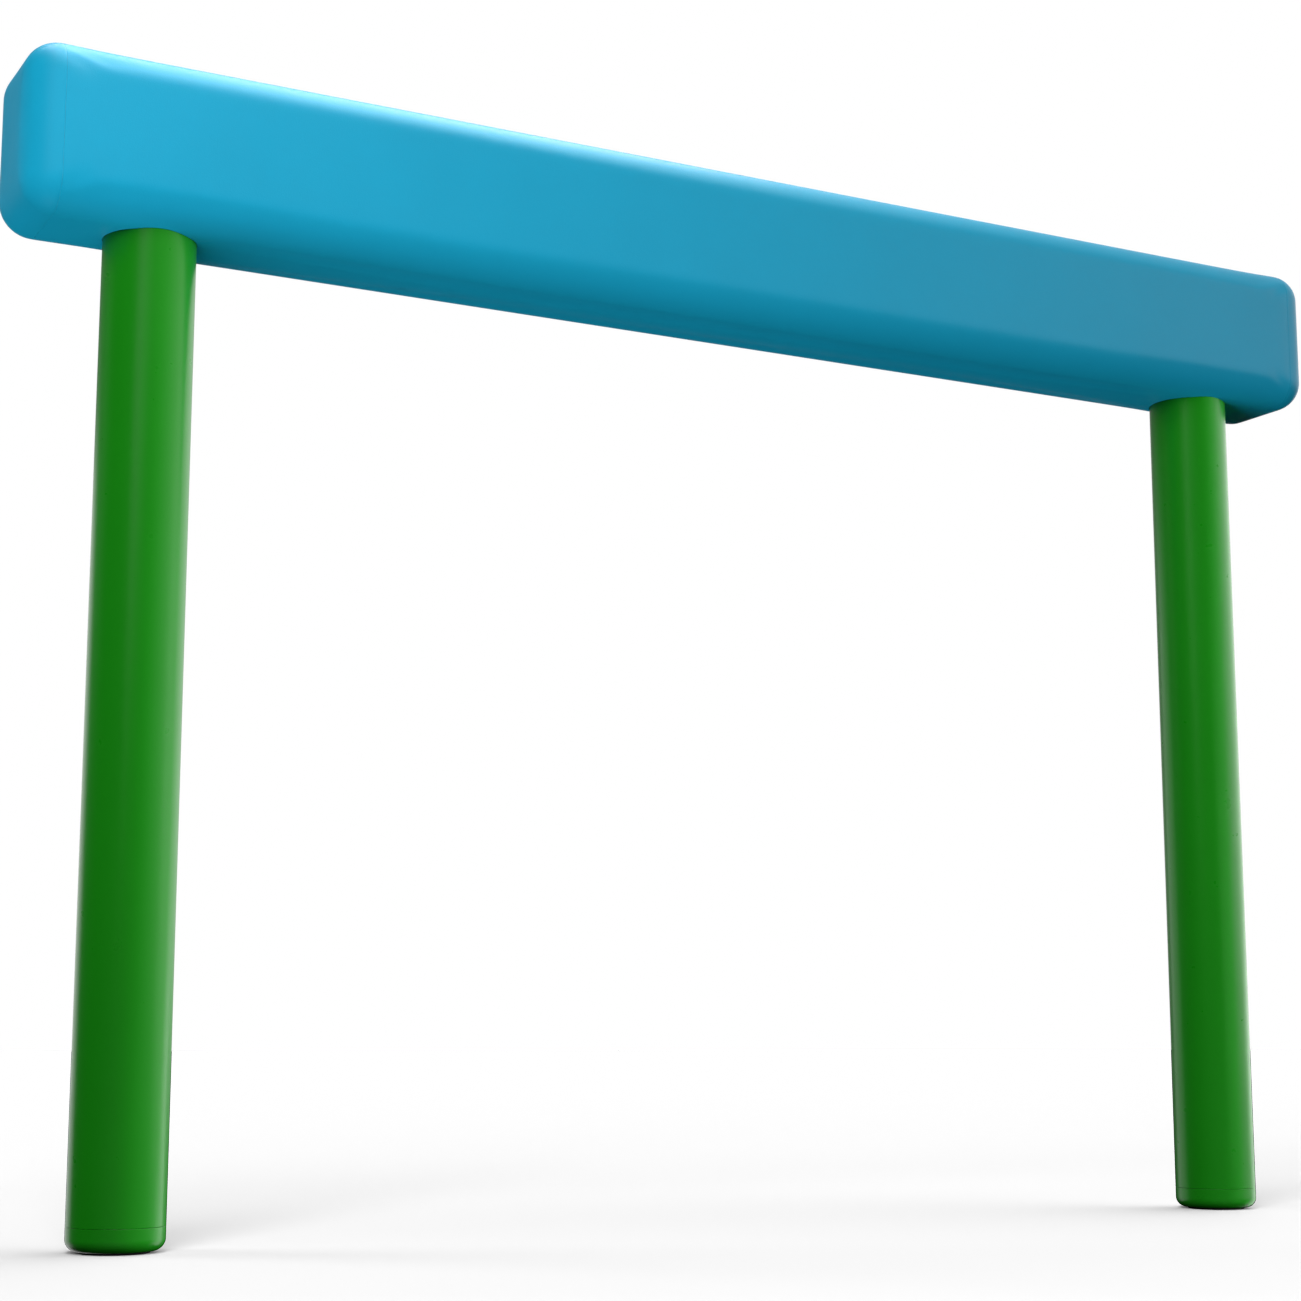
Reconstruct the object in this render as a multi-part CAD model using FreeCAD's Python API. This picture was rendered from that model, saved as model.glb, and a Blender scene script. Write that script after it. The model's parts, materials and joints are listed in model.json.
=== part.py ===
"""A short practice balance beam: a padded, vinyl-covered aluminium beam on two round steel posts.

Millimetres, +Z up, +X along the beam. The origin is on the floor, midway between the two posts.
Each separate piece of the beam is written to its own STEP file, and the file's name is the piece's name.
"""
import FreeCAD, Part
import math
import os
from FreeCAD import Vector

# Driving dimensions of the whole beam
BEAM_LENGTH = 1480.0
BEAM_WIDTH = 130.0
BEAM_HEIGHT = 160.0
BEAM_EDGE_RADIUS = 32.0
UNDERSIDE_HEIGHT = 900.0
POST_SPACING = 1220.0
POST_DIAMETER = 85.0
POST_WALL = 3.0

# The padded skin of the beam, from the outside in
COVER_THICKNESS = 1.5
PADDING_DEPTH = 15.0
GLUE_GAP = 0.1

# The aluminium core and its end plugs
CORE_WALL = 4.0
CORE_WEB = 3.0
CHAMBERS = 3
PLUG_FLANGE = 6.0
SPIGOT_LENGTH = 25.0
SPIGOT_GAP = 0.5
PLUG_SCREW_RADIUS = 2.4
PLUG_SCREW_HEAD_RADIUS = 4.6
PLUG_SCREW_LENGTH = 19.0
PLUG_SCREW_SOCKET = 2.5
SOCKET_DEPTH_SHARE = 0.6

# The bolted joint between each post and the core
PLATE_LENGTH = 150.0
PLATE_WIDTH = 88.0
PLATE_THICKNESS = 8.0
PLATE_CORNER = 10.0
NUT_PLATE_LENGTH = 130.0
NUT_PLATE_WIDTH = 66.0
NUT_PLATE_THICKNESS = 6.0
BOLT_RADIUS = 5.0
BOLT_HEAD_RADIUS = 10.0
BOLT_LENGTH = 25.0
BOLT_SOCKET = 6.0
BOLT_SPACING_X = 106.0
BOLT_SPACING_Y = 44.0
BOLT_HOLE_GAP = 0.3

# The rubber bush that lines the hole where a post enters the padding
BUSH_GAP = 0.1
BUSH_WALL = 2.9
COVER_HOLE_GAP = 0.6

# The foot that screws in and out of each post's lower end
FOOT_TOP = 22.0
FOOT_LIFT = 1.5
FOOT_RIM_RADIUS = 10.5
FOOT_TOP_RADIUS = 0.3
PARTING_GAP = 0.15
STUD_RADIUS = 10.0
STUD_TOP = 80.0
STUD_CHAMFER = 1.5
COLLAR_WIDTH = 36.0
COLLAR_BOTTOM = 10.0
COLLAR_TOP = 18.0
NECK_RADIUS = 10.9
LIP_RADIUS = 14.5
LIP_BOTTOM = 0.7
LIP_TOP = 1.9
ANCHOR_RADIUS = 5.1
ANCHOR_DEPTH = 20.0
SOLE_RADIUS = 30.0
SOLE_THICKNESS = 4.0
SOLE_EDGE_RADIUS = 0.8
SOLE_SEAT_GAP = 0.1
SOLE_HOLE_GAP = 0.2
SOLE_COUNTERBORE_RADIUS = 15.0
SOLE_COUNTERBORE_DEPTH = 2.0

# The screw thread's seat, welded inside each post's lower end
DISC_RECESS = 2.0
DISC_THICKNESS = 10.0
DISC_GAP = 0.05
NUT_WIDTH = 30.0
NUT_HEIGHT = 32.0
THREAD_GAP = 0.05

# How far a cutting tool runs past the face that it cuts through, and how close counts as equal
CUT_PAST = 1.0
TOLERANCE = 1e-6

# Values that follow from the ones above
POST_RADIUS = POST_DIAMETER / 2
BEAM_CENTRE_HEIGHT = UNDERSIDE_HEIGHT + BEAM_HEIGHT / 2
SLEEVE_HALF = BEAM_LENGTH / 2 - BEAM_EDGE_RADIUS
CORE_HALF = SLEEVE_HALF - PLUG_FLANGE
CORE_UNDERSIDE = UNDERSIDE_HEIGHT + PADDING_DEPTH
CORE_FLOOR = CORE_UNDERSIDE + CORE_WALL
PLATE_UNDERSIDE = CORE_UNDERSIDE - PLATE_THICKNESS
POST_BOTTOM = FOOT_TOP + PARTING_GAP
CHAMBER_INSET = PADDING_DEPTH + CORE_WALL
CHAMBER_SPACE = BEAM_HEIGHT - 2 * CHAMBER_INSET
CHAMBER_HEIGHT = (CHAMBER_SPACE - (CHAMBERS - 1) * CORE_WEB) / CHAMBERS

SIDES = {"left": -1, "right": 1}
UP = Vector(0, 0, 1)
ALONG = Vector(1, 0, 0)


def edges_along(block, axis):
    """A block's straight edges that run along one axis."""
    return [e for e in block.Edges if abs(e.tangentAt(e.FirstParameter).dot(axis)) > 1 - TOLERANCE]


def beam_bar(inset, start, end):
    """The beam's cross-section, drawn in by inset on every side, from x = start to x = end."""
    width = BEAM_WIDTH - 2 * inset
    height = BEAM_HEIGHT - 2 * inset
    corner = Vector(start, -width / 2, BEAM_CENTRE_HEIGHT - height / 2)
    block = Part.makeBox(end - start, width, height, corner)
    return block.makeFillet(BEAM_EDGE_RADIUS - inset, edges_along(block, ALONG))


def beam_body(inset):
    """The beam's whole outer form, every edge and corner rounded, drawn in by inset on every side."""
    length = BEAM_LENGTH - 2 * inset
    width = BEAM_WIDTH - 2 * inset
    height = BEAM_HEIGHT - 2 * inset
    corner = Vector(-length / 2, -width / 2, BEAM_CENTRE_HEIGHT - height / 2)
    block = Part.makeBox(length, width, height, corner)
    return block.makeFillet(BEAM_EDGE_RADIUS - inset, block.Edges)


def slab(x_from, x_to):
    """A block that holds the beam's whole section between two stations along it."""
    corner = Vector(x_from, -BEAM_WIDTH, BEAM_CENTRE_HEIGHT - BEAM_HEIGHT)
    return Part.makeBox(x_to - x_from, 2 * BEAM_WIDTH, 2 * BEAM_HEIGHT, corner)


def rod(radius, bottom, top, x=0.0):
    """An upright round bar."""
    return Part.makeCylinder(radius, top - bottom, Vector(x, 0, bottom), UP)


def hexagon(width, bottom, top):
    """An upright hexagonal bar on the Z axis, width across its flats."""
    outline = Part.makePolygon(hexagon_corners(width, bottom))
    return Part.Face(outline).extrude(Vector(0, 0, top - bottom))


def hexagon_corners(width, z):
    """The corners of a hexagon, width across its flats, with the first one repeated at the end."""
    reach = Vector(width / math.sqrt(3), 0, 0)
    turns = [FreeCAD.Rotation(UP, 60 * i) for i in range(7)]
    return [Vector(0, 0, z) + turn.multVec(reach) for turn in turns]


def countersunk_screw(radius, head_radius, length, socket):
    """A countersunk socket screw. Its flat head is at z = 0 and it points up."""
    head_depth = head_radius - radius
    head = Part.makeCone(head_radius, radius, head_depth)
    shank = Part.makeCylinder(radius, length)
    recess = hexagon(socket, 0, SOCKET_DEPTH_SHARE * head_depth)
    return head.fuse(shank).removeSplitter().cut(recess)


def countersunk_hole(radius, head_radius, length, gap):
    """The space that a countersunk screw needs, gap larger all round."""
    head_depth = head_radius - radius
    head = Part.makeCone(head_radius + gap, radius + gap, head_depth)
    return head.fuse(Part.makeCylinder(radius + gap, length))


def moved(shape, x, y, z):
    """A copy of shape, shifted."""
    copy = shape.copy()
    copy.translate(Vector(x, y, z))
    return copy


def at_posts(shape):
    """One compound with shape, drawn at x = 0, repeated at both posts."""
    return Part.makeCompound([moved(shape, sign * POST_SPACING / 2, 0, 0) for sign in SIDES.values()])


def chamber(index, inset):
    """One of the core's hollow chambers, counted from the lowest and drawn in by inset."""
    bottom = UNDERSIDE_HEIGHT + CHAMBER_INSET + index * (CHAMBER_HEIGHT + CORE_WEB) + inset
    height = CHAMBER_HEIGHT - 2 * inset
    level = Part.makeBox(BEAM_LENGTH, BEAM_WIDTH, height, Vector(-BEAM_LENGTH / 2, -BEAM_WIDTH / 2, bottom))
    return beam_bar(CHAMBER_INSET + inset, -BEAM_LENGTH / 2, BEAM_LENGTH / 2).common(level)


def chamber_middle(index):
    """The height of a chamber's middle."""
    return UNDERSIDE_HEIGHT + CHAMBER_INSET + index * (CHAMBER_HEIGHT + CORE_WEB) + CHAMBER_HEIGHT / 2


def bolt_places():
    """Where the four bolts of one post's plate stand, measured from the post's axis."""
    return [(i * BOLT_SPACING_X / 2, j * BOLT_SPACING_Y / 2) for i in (-1, 1) for j in (-1, 1)]


def at_bolts(shape):
    """Copies of shape at the four bolts of one post."""
    return [moved(shape, x, y, 0) for x, y in bolt_places()]


def plug_screw_places(shape):
    """Copies of an upward shape, laid down so that it enters the core's sides at each end plug screw."""
    placed = []
    for end in SIDES.values():
        for face in (-1, 1):
            for index in (0, CHAMBERS - 1):
                copy = shape.copy()
                copy.rotate(Vector(0, 0, 0), ALONG, 90 * face)
                x = end * (CORE_HALF - SPIGOT_LENGTH / 2)
                y = face * (BEAM_WIDTH / 2 - PADDING_DEPTH)
                copy.translate(Vector(x, y, chamber_middle(index)))
                placed.append(copy)
    return placed


def plug_screw_holes(gap):
    """The holes for all the end plug screws."""
    hole = countersunk_hole(PLUG_SCREW_RADIUS, PLUG_SCREW_HEAD_RADIUS, PLUG_SCREW_LENGTH + CUT_PAST, gap)
    return plug_screw_places(hole)


def core_beam():
    """The aluminium extrusion: a rounded box with level webs, drilled for the bolts and the plug screws."""
    core = beam_bar(PADDING_DEPTH, -CORE_HALF, CORE_HALF)
    core = core.cut([chamber(index, 0) for index in range(CHAMBERS)])
    bolt_hole = rod(BOLT_RADIUS + BOLT_HOLE_GAP, CORE_UNDERSIDE - CUT_PAST, CORE_FLOOR + CUT_PAST)
    return core.cut([at_posts(hole) for hole in at_bolts(bolt_hole)] + plug_screw_holes(GLUE_GAP))


def end_plug(end):
    """The moulded plug that closes one end of the core: a flange, and a spigot in each chamber."""
    near, far = sorted((end * CORE_HALF, end * SLEEVE_HALF))
    flange = beam_bar(PADDING_DEPTH, near, far)
    near, far = sorted((end * CORE_HALF, end * (CORE_HALF - SPIGOT_LENGTH)))
    reach = slab(near, far)
    spigots = [chamber(index, SPIGOT_GAP).common(reach) for index in range(CHAMBERS)]
    return flange.fuse(spigots).cut(plug_screw_holes(THREAD_GAP))


def end_plug_screws():
    """The screws that hold both end plugs in the core."""
    screw = countersunk_screw(PLUG_SCREW_RADIUS, PLUG_SCREW_HEAD_RADIUS, PLUG_SCREW_LENGTH, PLUG_SCREW_SOCKET)
    return Part.makeCompound(plug_screw_places(screw))


def foam_sleeve():
    """The foam round the core's long sides, with a pocket for each post's plate and a hole for its bush."""
    half = SLEEVE_HALF - GLUE_GAP / 2
    outside = beam_bar(COVER_THICKNESS + GLUE_GAP, -half, half)
    inside = beam_bar(PADDING_DEPTH - GLUE_GAP, -half, half)
    pocket = plate_blank(GLUE_GAP, PLATE_UNDERSIDE - GLUE_GAP, CORE_UNDERSIDE + GLUE_GAP)
    bush_hole = rod(POST_RADIUS + BUSH_GAP + BUSH_WALL + GLUE_GAP, UNDERSIDE_HEIGHT, PLATE_UNDERSIDE)
    return outside.cut([inside, at_posts(pocket), at_posts(bush_hole)])


def end_foam(end):
    """The rounded foam pad glued to one end of the beam."""
    near, far = sorted((end * (SLEEVE_HALF + GLUE_GAP / 2), end * BEAM_LENGTH))
    return beam_body(COVER_THICKNESS + GLUE_GAP).common(slab(near, far))


def cover_shell():
    """The whole vinyl cover, before it is divided into a sleeve and two end covers."""
    return beam_body(0).cut(beam_body(COVER_THICKNESS))


def cover_sleeve():
    """The vinyl round the beam's long sides, with a round opening for each post."""
    opening = rod(POST_RADIUS + COVER_HOLE_GAP, UNDERSIDE_HEIGHT - CUT_PAST, PLATE_UNDERSIDE)
    return cover_shell().common(slab(-SLEEVE_HALF, SLEEVE_HALF)).cut(at_posts(opening))


def end_cover(end):
    """The domed vinyl cap welded to one end of the sleeve."""
    near, far = sorted((end * SLEEVE_HALF, end * BEAM_LENGTH))
    return cover_shell().common(slab(near, far))


def plate_blank(gap, bottom, top):
    """A post's top plate with no holes, gap larger all round."""
    length = PLATE_LENGTH + 2 * gap
    width = PLATE_WIDTH + 2 * gap
    block = Part.makeBox(length, width, top - bottom, Vector(-length / 2, -width / 2, bottom))
    return block.makeFillet(PLATE_CORNER, edges_along(block, UP))


def top_plate():
    """The steel plate welded to a post's upper end, countersunk for four bolts from below."""
    hole = countersunk_hole(BOLT_RADIUS, BOLT_HEAD_RADIUS, PLATE_THICKNESS + CUT_PAST, GLUE_GAP)
    plate = plate_blank(0, PLATE_UNDERSIDE, CORE_UNDERSIDE)
    return plate.cut(at_bolts(moved(hole, 0, 0, PLATE_UNDERSIDE)))


def nut_plate():
    """The tapped steel plate inside the core's lowest chamber that a post's four bolts screw into."""
    corner = Vector(-NUT_PLATE_LENGTH / 2, -NUT_PLATE_WIDTH / 2, CORE_FLOOR)
    plate = Part.makeBox(NUT_PLATE_LENGTH, NUT_PLATE_WIDTH, NUT_PLATE_THICKNESS, corner)
    top = CORE_FLOOR + NUT_PLATE_THICKNESS
    tapped = rod(BOLT_RADIUS + THREAD_GAP, CORE_FLOOR - CUT_PAST, top + CUT_PAST)
    return plate.cut(at_bolts(tapped))


def top_plate_bolts():
    """The eight countersunk bolts that hold the two top plates to the core."""
    bolt = countersunk_screw(BOLT_RADIUS, BOLT_HEAD_RADIUS, BOLT_LENGTH, BOLT_SOCKET)
    bolts = at_bolts(moved(bolt, 0, 0, PLATE_UNDERSIDE))
    return Part.makeCompound([solid for bolt in bolts for solid in at_posts(bolt).Solids])


def post_bush(x):
    """The rubber bush between a post and the foam. Its lower end follows the inside of the cover."""
    inner = POST_RADIUS + BUSH_GAP
    top = PLATE_UNDERSIDE - GLUE_GAP
    bore = rod(inner, UNDERSIDE_HEIGHT - CUT_PAST, top + CUT_PAST, x)
    ring = rod(inner + BUSH_WALL, UNDERSIDE_HEIGHT, top, x).cut(bore)
    return ring.common(beam_body(COVER_THICKNESS + GLUE_GAP))


def post():
    """The steel tube that carries one end of the beam."""
    tube = rod(POST_RADIUS, POST_BOTTOM, PLATE_UNDERSIDE)
    return tube.cut(rod(POST_RADIUS - POST_WALL, POST_BOTTOM - CUT_PAST, PLATE_UNDERSIDE + CUT_PAST))


def base_disc():
    """The steel disc welded inside a post's lower end. The foot's stud passes through it."""
    bottom = POST_BOTTOM + DISC_RECESS
    top = bottom + DISC_THICKNESS
    disc = rod(POST_RADIUS - POST_WALL - DISC_GAP, bottom, top)
    return disc.cut(rod(STUD_RADIUS + BOLT_HOLE_GAP, bottom - CUT_PAST, top + CUT_PAST))


def levelling_nut():
    """The long nut welded on the base disc. The foot's stud screws through it."""
    bottom = POST_BOTTOM + DISC_RECESS + DISC_THICKNESS
    top = bottom + NUT_HEIGHT
    nut = hexagon(NUT_WIDTH, bottom, top)
    return nut.cut(rod(STUD_RADIUS + THREAD_GAP, bottom - CUT_PAST, top + CUT_PAST))


def foot():
    """The moulded foot: as wide as the post, rounded at the floor, with a recess for the sole."""
    body = rod(POST_RADIUS, FOOT_LIFT, FOOT_TOP)
    body = body.makeFillet(FOOT_RIM_RADIUS, rim_edges(body, FOOT_LIFT))
    body = body.makeFillet(FOOT_TOP_RADIUS, rim_edges(body, FOOT_TOP))
    ceiling = SOLE_THICKNESS + SOLE_SEAT_GAP
    return body.cut([
        rod(SOLE_RADIUS + SOLE_SEAT_GAP, FOOT_LIFT - CUT_PAST, ceiling),
        rod(NECK_RADIUS + GLUE_GAP, ceiling - CUT_PAST, COLLAR_BOTTOM),
        hexagon(COLLAR_WIDTH + 2 * THREAD_GAP, COLLAR_BOTTOM - THREAD_GAP, COLLAR_TOP + THREAD_GAP),
        rod(STUD_RADIUS + GLUE_GAP, COLLAR_TOP, FOOT_TOP + CUT_PAST),
    ])


def rim_edges(body, z):
    """The outermost round edge of a turned body at height z."""
    boxes = [(edge, edge.BoundBox) for edge in body.Edges]
    level = [edge for edge, box in boxes if max(abs(box.ZMin - z), abs(box.ZMax - z)) < TOLERANCE]
    return [max(level, key=lambda edge: edge.Length)]


def foot_stud():
    """The turned steel stud moulded into the foot: a threaded shank, a hexagonal collar, a neck, and a lip
    that traps the sole. Its lower end is tapped for a floor anchor or a base plate's bolt."""
    shank = rod(STUD_RADIUS, COLLAR_TOP, STUD_TOP)
    shank = shank.makeChamfer(STUD_CHAMFER, rim_edges(shank, STUD_TOP))
    collar = hexagon(COLLAR_WIDTH, COLLAR_BOTTOM, COLLAR_TOP)
    neck = rod(NECK_RADIUS, LIP_TOP, COLLAR_BOTTOM)
    lip = rod(LIP_RADIUS, LIP_BOTTOM, LIP_TOP)
    tapped = rod(ANCHOR_RADIUS, LIP_BOTTOM - CUT_PAST, LIP_BOTTOM + ANCHOR_DEPTH)
    return shank.fuse([collar, neck, lip]).cut(tapped)


def sole():
    """The rubber sole that stays still on the floor while the foot turns above it."""
    disc = rod(SOLE_RADIUS, 0, SOLE_THICKNESS)
    disc = disc.makeFillet(SOLE_EDGE_RADIUS, rim_edges(disc, 0))
    return disc.cut([
        rod(NECK_RADIUS + SOLE_HOLE_GAP, -CUT_PAST, SOLE_THICKNESS + CUT_PAST),
        rod(SOLE_COUNTERBORE_RADIUS, -CUT_PAST, SOLE_COUNTERBORE_DEPTH),
    ])


def save(name, shape):
    """Writes one piece, after checking that it is made of valid closed solids."""
    solids = shape.Solids
    if not solids or not all(solid.isValid() and solid.isClosed() for solid in solids):
        raise ValueError(name + " is not made of valid closed solids")
    whole = solids[0] if len(solids) == 1 else Part.makeCompound(solids)
    whole.exportStep("parts/" + name + ".step")


def main():
    os.makedirs("parts", exist_ok=True)
    save("core_beam", core_beam())
    save("end_plug_screws", end_plug_screws())
    save("foam_sleeve", foam_sleeve())
    save("cover_sleeve", cover_sleeve())
    save("top_plate_bolts", top_plate_bolts())
    for side, sign in SIDES.items():
        x = sign * POST_SPACING / 2
        save(side + "_end_plug", end_plug(sign))
        save(side + "_end_foam", end_foam(sign))
        save(side + "_end_cover", end_cover(sign))
        save(side + "_top_plate", moved(top_plate(), x, 0, 0))
        save(side + "_nut_plate", moved(nut_plate(), x, 0, 0))
        save(side + "_post_bush", post_bush(x))
        save(side + "_post", moved(post(), x, 0, 0))
        save(side + "_base_disc", moved(base_disc(), x, 0, 0))
        save(side + "_levelling_nut", moved(levelling_nut(), x, 0, 0))
        save(side + "_foot", moved(foot(), x, 0, 0))
        save(side + "_foot_stud", moved(foot_stud(), x, 0, 0))
        save(side + "_sole", moved(sole(), x, 0, 0))


main()
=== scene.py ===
"""The looks of a short padded balance beam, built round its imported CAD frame.

Everything is in metres in the CAD frame: +X along the beam, +Y to its back, +Z up, the floor at z = 0.
"""
import bmesh
import bpy
import json
import math
from mathutils import Matrix, Vector

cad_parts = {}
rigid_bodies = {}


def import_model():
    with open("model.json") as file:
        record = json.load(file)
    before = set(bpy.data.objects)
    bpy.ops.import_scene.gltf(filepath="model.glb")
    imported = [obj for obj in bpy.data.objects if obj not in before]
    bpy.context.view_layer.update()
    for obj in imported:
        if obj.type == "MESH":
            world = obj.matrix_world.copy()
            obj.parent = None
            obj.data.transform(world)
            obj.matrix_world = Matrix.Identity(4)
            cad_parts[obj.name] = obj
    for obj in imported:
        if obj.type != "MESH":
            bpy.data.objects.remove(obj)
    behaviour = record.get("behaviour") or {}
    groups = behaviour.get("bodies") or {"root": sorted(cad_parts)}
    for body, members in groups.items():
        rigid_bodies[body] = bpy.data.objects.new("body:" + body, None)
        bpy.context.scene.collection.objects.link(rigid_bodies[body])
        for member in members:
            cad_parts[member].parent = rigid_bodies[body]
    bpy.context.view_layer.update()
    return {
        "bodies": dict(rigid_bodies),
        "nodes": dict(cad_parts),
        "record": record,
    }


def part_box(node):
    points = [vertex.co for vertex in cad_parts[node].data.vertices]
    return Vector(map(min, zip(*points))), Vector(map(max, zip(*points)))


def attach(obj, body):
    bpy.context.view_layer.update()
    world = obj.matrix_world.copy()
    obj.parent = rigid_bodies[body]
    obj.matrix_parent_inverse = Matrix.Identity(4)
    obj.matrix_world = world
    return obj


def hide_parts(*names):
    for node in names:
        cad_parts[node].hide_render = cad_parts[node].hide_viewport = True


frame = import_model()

# Sizes read from the frame
SIDES = {"left": -1, "right": 1}
COVER_LOW, COVER_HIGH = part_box("cover_sleeve")
END_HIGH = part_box("right_end_cover")[1]
POST_LOW, POST_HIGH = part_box("right_post")
DISC_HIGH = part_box("right_base_disc")[1]
FOOT_LOW, FOOT_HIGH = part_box("right_foot")
STUD_LOW, STUD_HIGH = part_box("right_foot_stud")
SOLE_LOW, SOLE_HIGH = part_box("right_sole")
PLATE_LOW, PLATE_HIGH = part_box("right_top_plate")
BUSH_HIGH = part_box("right_post_bush")[1]
CORE_LOW, CORE_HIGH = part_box("core_beam")
FOAM_LOW, FOAM_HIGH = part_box("foam_sleeve")

WELD_X = COVER_HIGH.x
EDGE_RADIUS = END_HIGH.x - WELD_X
CENTRE = Vector((0, 0, (COVER_LOW.z + COVER_HIGH.z) / 2))
HALF = Vector((END_HIGH.x, END_HIGH.y, END_HIGH.z - CENTRE.z))
POST_X = (SOLE_LOW.x + SOLE_HIGH.x) / 2
POST_RADIUS = (POST_HIGH.x - POST_LOW.x) / 2
POST_WALL = POST_RADIUS - (DISC_HIGH.x - POST_X)
FLOOR_Z = SOLE_LOW.z

# Distances too small to count: between two stations, and for a point that hasn't moved
ROUNDING = 1e-6
STILL = 1e-9

# The cover: its vinyl, its grid, and how far the padding pushes it out
VINYL = 0.0015
GRID_STEP = 0.007
ARC_STEPS = 6
HOLE_GAP = 0.0006
HOLE_RADIUS = POST_RADIUS + HOLE_GAP
HOLE_PATCH = 0.056
HOLE_RINGS = 5
CROWN = 0.0010
PADDING_PRESSURE = 4.0
SETTLING_FRAMES = 20
STRETCH_STIFFNESS = 40
BEND_STIFFNESS = 5

# The foam under the cover
GLUE_GAP = 0.0001
FOAM_RADIUS = EDGE_RADIUS - (HALF.z - (FOAM_HIGH.z - CENTRE.z))
CORE_RADIUS = EDGE_RADIUS - (HALF.z - (CORE_HIGH.z - CENTRE.z))

# The cover's seams
WELD_HALF_WIDTH = 0.0003
WELD_DEPTH = 0.00012
SPLIT_GAP = 0.00003
LAP_Z = COVER_LOW.z + EDGE_RADIUS + 0.010
LAP_STEP = 0.0006
LAP_EDGE = 0.0003
STITCH_PITCH = 0.006
STITCH_LENGTH = 0.0042
STITCH_RADIUS = 0.00036
STITCH_INSET = 0.004

# The turned parts
ROUND_SEGMENTS = 160
STUD_SEGMENTS = 72
PITCH = 0.0025
THREAD_DEPTH = 0.61 * PITCH
RINGS_PER_PITCH = 10
RIM_GUARD = 0.0005

# The studio's light from each side: its direction, and its strength low down and above. It changes from one
# to the other between two heights, as parts of a view's length.
STUDIO = (
    ((1, 0, 0), 0.0, 3.2),
    ((0, -1, 0), 0.3, 0.0),
    ((0, 1, 0), 0.0, 0.35),
)
LOW_DOWN = -0.05
RAISED = 0.05
FLOOR_REACH = 60.0

# The camera: its place, its turn from +Y and its tilt up in degrees, its lens and sensor in millimetres
CAMERA_PLACE = (-1.2075, -2.0952, 0.1761)
CAMERA_YAW = 28.08
CAMERA_PITCH = 9.24
CAMERA_LENS = 66.97
CAMERA_SENSOR = 36.0


# ---- Mesh helpers ----

def spread(start, end, step):
    """Evenly spaced values from start up to but not including end, about step apart."""
    count = max(1, round((end - start) / step))
    return [start + (end - start) * i / count for i in range(count)]


def add_object(name, mesh):
    """Puts a mesh in the scene as a smooth-shaded object."""
    piece = bpy.data.objects.new(name, mesh)
    bpy.context.scene.collection.objects.link(piece)
    mesh.polygons.foreach_set("use_smooth", [True] * len(mesh.polygons))
    return piece


def mesh_from(name, points, faces):
    """A mesh with its faces turned outward."""
    mesh = bpy.data.meshes.new(name)
    mesh.from_pydata(points, [], faces)
    sheet = bmesh.new()
    sheet.from_mesh(mesh)
    bmesh.ops.recalc_face_normals(sheet, faces=sheet.faces)
    sheet.to_mesh(mesh)
    sheet.free()
    return mesh


def bake(piece):
    """Applies every modifier of a piece."""
    bpy.context.view_layer.update()
    graph = bpy.context.evaluated_depsgraph_get()
    baked = bpy.data.meshes.new_from_object(piece.evaluated_get(graph))
    piece.modifiers.clear()
    piece.data = baked
    baked.polygons.foreach_set("use_smooth", [True] * len(baked.polygons))


def sharpen(piece, degrees):
    """Keeps the edges that turn by more than this angle sharp."""
    piece.data.set_sharp_from_angle(angle=math.radians(degrees))


def finish_piece(piece, body, slot, material, *nodes):
    """Gives a piece its body, its finish and the CAD nodes it stands for."""
    piece.data.materials.clear()
    piece.data.materials.append(material)
    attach(piece, body)
    if nodes:
        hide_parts(*nodes)


# ---- The cover ----

def stations(axis, flat, radius):
    """Grid stations along one axis of the bar: its flat stretch, and each rounded edge in equal angles."""
    reach = HALF[axis] - EDGE_RADIUS
    edge = [radius * math.tan(math.radians(45) * k / ARC_STEPS) for k in range(1, ARC_STEPS + 1)]
    return [-reach - e for e in reversed(edge)] + flat + [reach] + [reach + e for e in edge]


def on_bar(x, y, z, radius):
    """The point of the rounded bar nearest to a point of the box round it."""
    point = Vector((x, y, z))
    reach = [h - EDGE_RADIUS for h in HALF]
    inner = Vector([max(-r, min(r, p)) for p, r in zip(point, reach)])
    return CENTRE + inner + radius * (point - inner).normalized()


def underside(y):
    """The height of the bar's underside at a distance y from its middle."""
    past = max(0.0, abs(y) - (HALF.y - EDGE_RADIUS))
    return CENTRE.z - HALF.z + EDGE_RADIUS - math.sqrt(EDGE_RADIUS ** 2 - past ** 2)


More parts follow.
